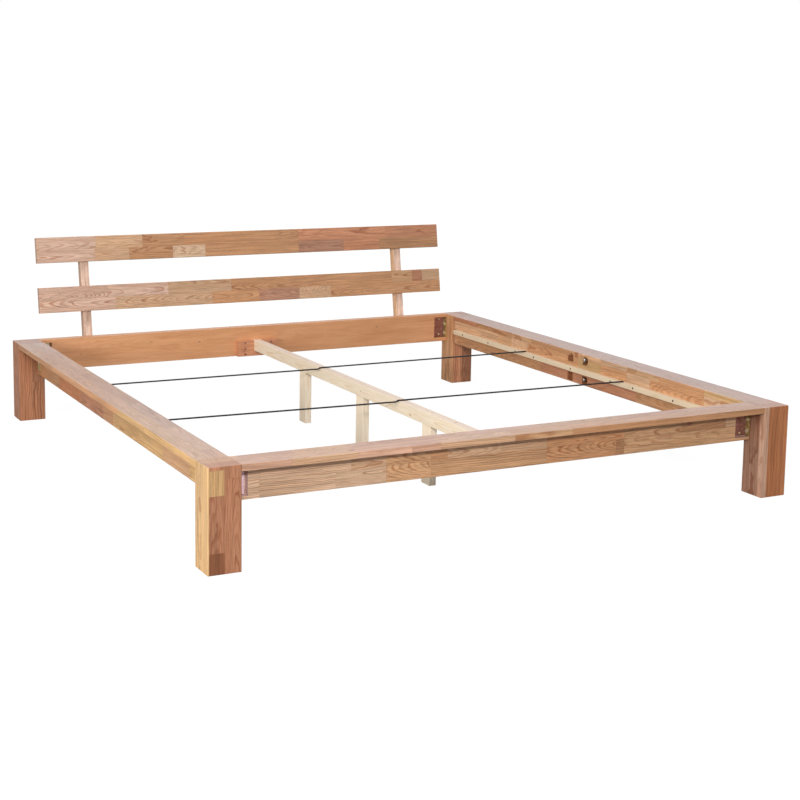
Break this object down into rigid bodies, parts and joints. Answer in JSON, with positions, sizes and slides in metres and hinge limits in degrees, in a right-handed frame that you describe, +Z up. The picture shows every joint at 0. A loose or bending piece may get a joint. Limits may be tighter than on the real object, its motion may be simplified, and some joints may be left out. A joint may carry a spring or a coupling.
{
  "type": "bed frame",
  "caption": "Low wooden double bed frame with block legs, inverted-L rails, centre beam, tie rods and a leaning two-plank headboard.",
  "frame": {"origin": "on the floor, at the middle of the bed's overall length and width", "axes": "+Z up, +X to the right for someone facing the headboard, +Y from the foot to the head"},
  "size_m": [2.001, 2.2526, 0.6899],
  "materials": {
    "oak": "oiled, glued from staves of mixed tone",
    "pine": "raw planed softwood",
    "zinc": "yellow zinc plated",
    "black_steel": "black, slightly glossy"
  },
  "bodies": {
    "root": {"leg_foot_left": "oak", "leg_foot_right": "oak", "leg_head_left": "oak", "leg_head_right": "oak", "rail_left_foot_web": "oak", "rail_left_foot_cap": "oak", "rail_left_head_web": "oak", "rail_left_head_cap": "oak", "rail_right_foot_web": "oak", "rail_right_foot_cap": "oak", "rail_right_head_web": "oak", "rail_right_head_cap": "oak", "rail_foot_web": "oak", "rail_foot_cap": "oak", "rail_head": "oak", "headboard_plank_lower": "oak", "headboard_plank_upper": "oak", "headboard_upright_left": "oak", "headboard_upright_right": "oak", "centre_beam": "pine", "centre_leg_foot": "pine", "centre_leg_middle": "pine", "centre_leg_head": "pine", "cleat_foot": "oak", "cleat_head": "oak", "ledger_left": "pine", "ledger_right": "pine", "tie_rod_foot": "black_steel", "tie_rod_head": "black_steel", "corner_brackets": "zinc", "corner_bolts": "zinc", "corner_inserts": "zinc", "corner_dowels": "pine", "bracket_screws": "zinc", "splice_bolts": "zinc", "splice_half_moons": "zinc", "splice_nuts": "zinc", "splice_dowels": "pine", "ledger_screws": "zinc", "cleat_screws": "zinc", "plank_screws": "zinc", "upright_screws": "zinc", "beam_screws": "zinc"}
  },
  "joints": []
}
